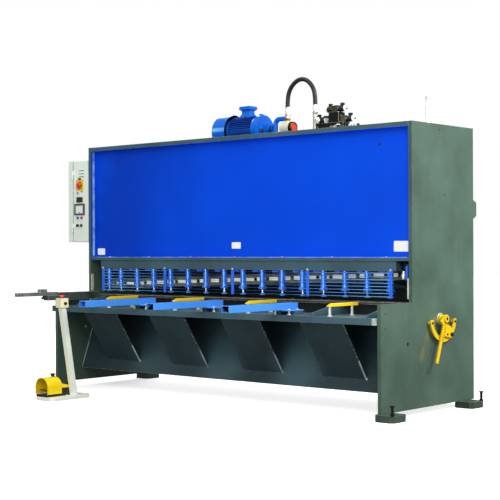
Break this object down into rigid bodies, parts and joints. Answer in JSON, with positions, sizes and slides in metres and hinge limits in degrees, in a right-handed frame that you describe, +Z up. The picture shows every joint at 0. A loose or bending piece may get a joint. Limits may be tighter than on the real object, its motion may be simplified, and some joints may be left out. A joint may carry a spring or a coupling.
{
  "type": "hydraulic swing beam plate shear",
  "caption": "Floor standing hydraulic plate shear with swing beam, hold downs, finger guard, support arms, control cabinet and foot switch stand.",
  "frame": {"origin": "on the floor, at the centre of the rectangle of the four anchor holes in the feet", "axes": "+X to the right along the blades, +Y from the operator to the rear, +Z up"},
  "size_m": [3.896, 1.985, 2.6079],
  "materials": {
    "frame_paint": "satin",
    "beam_paint": "satin",
    "cover_paint": "satin",
    "arm_paint": "satin",
    "guard_paint": "gloss",
    "table_steel": "oiled",
    "blade_steel": "ground",
    "zinc_steel": "plated",
    "black_steel": "oiled",
    "yellow_paint": "gloss",
    "lever_paint": "gloss",
    "scale_steel": "worn",
    "motor_paint": "gloss",
    "filter_paint": "gloss",
    "fitting_chrome": "plated",
    "hose_rubber": "matte",
    "valve_black": "satin",
    "cabinet_paint": "fine texture",
    "door_plastic": "matte",
    "red_plastic": "gloss",
    "stand_paint": "satin",
    "box_plastic": "satin",
    "pedal_black": "matte",
    "pedal_yellow": "gloss"
  },
  "bodies": {
    "machine": {"side_frame_left": "frame_paint", "side_frame_right": "frame_paint", "floor_feet": "beam_paint", "levelling_screws": "black_steel", "pivot_pins": "zinc_steel", "rear_brackets": "frame_paint", "rear_cross_tube": "beam_paint", "throat_strips": "zinc_steel", "table_top": "table_steel", "table_bed": "beam_paint", "lower_blade": "blade_steel", "table_front_beam": "beam_paint", "chute_wall": "beam_paint", "apron_plates": "beam_paint", "table_gussets": "beam_paint", "support_rails": "yellow_paint", "support_posts": "zinc_steel", "support_arms": "arm_paint", "arm_brackets": "beam_paint", "squaring_arm": "beam_paint", "squaring_scale_bar": "scale_steel", "top_rail": "beam_paint", "front_cover": "cover_paint", "tie_plate": "beam_paint", "clamp_beam": "beam_paint", "hold_down_cylinders": "guard_paint", "finger_guard": "guard_paint", "main_cylinders": "guard_paint", "oil_tank": "beam_paint", "motor_body": "motor_paint", "motor_fan_cover": "motor_paint", "pump_unit": "motor_paint", "oil_filter": "filter_paint", "tank_fittings": "fitting_chrome", "hydraulic_hose": "hose_rubber", "suction_pipe": "motor_paint", "valve_block": "valve_black", "solenoid_valves": "valve_black", "control_cabinet": "cabinet_paint", "gap_quadrant": "lever_paint", "switch_stand": "stand_paint", "stop_box": "box_plastic", "pedal_base": "pedal_black", "pedal_hood": "pedal_yellow"},
    "swing_beam": {"beam_front_plate": "beam_paint", "beam_tube": "beam_paint", "beam_ribs": "beam_paint", "beam_top_web": "beam_paint", "upper_blade": "blade_steel"},
    "piston_rods": {"cylinder_rods": "fitting_chrome"},
    "hold_down_plungers": {"hold_down_feet": "guard_paint"},
    "gap_lever": {"gap_lever": "lever_paint"},
    "cabinet_door": {"cabinet_door": "cabinet_paint", "door_fittings": "door_plastic"},
    "main_switch": {"main_switch": "red_plastic"},
    "stop_button": {"stop_button": "red_plastic"},
    "pedal_treadle": {"pedal_treadle": "pedal_black"}
  },
  "joints": [
    {"name": "beam_swing", "type": "hinge", "parent": "machine", "child": "swing_beam", "pos_m": [0, 0.58, 0.95], "axis": [1, 0, 0], "range_deg": [0, 15]},
    {"name": "piston_stroke", "type": "slide", "parent": "machine", "child": "piston_rods", "axis": [0, 0, -1], "range_m": [0, 0.165]},
    {"name": "hold_down_stroke", "type": "slide", "parent": "machine", "child": "hold_down_plungers", "axis": [0, 0, -1], "range_m": [0, 0.02], "stiffness_N_per_m": 20000, "springref_m": -0.02},
    {"name": "gap_lever_turn", "type": "hinge", "parent": "machine", "child": "gap_lever", "pos_m": [1.79, 0.178, 0.69], "axis": [1, 0, 0], "range_deg": [-50, 85]},
    {"name": "cabinet_door_hinge", "type": "hinge", "parent": "machine", "child": "cabinet_door", "pos_m": [-1.96, -0.201, 1.654], "axis": [0, 0, 1], "range_deg": [-110, 0]},
    {"name": "main_switch_turn", "type": "hinge", "parent": "cabinet_door", "child": "main_switch", "pos_m": [-1.87, -0.19, 1.802], "axis": [0, -1, 0], "range_deg": [0, 90]},
    {"name": "stop_button_press", "type": "slide", "parent": "machine", "child": "stop_button", "axis": [0, 0, -1], "range_m": [0, 0.006], "stiffness_N_per_m": 900, "springref_m": -0.006},
    {"name": "pedal_press", "type": "hinge", "parent": "machine", "child": "pedal_treadle", "pos_m": [-1.092, -1.155, 0.064], "axis": [1, 0, 0], "range_deg": [0, 10], "stiffness_Nm_per_rad": 3, "springref_deg": -22.92}
  ],
  "couplings": [
    {"joint": "piston_stroke", "follows": "beam_swing", "m_per_rad": 0.6131}
  ]
}
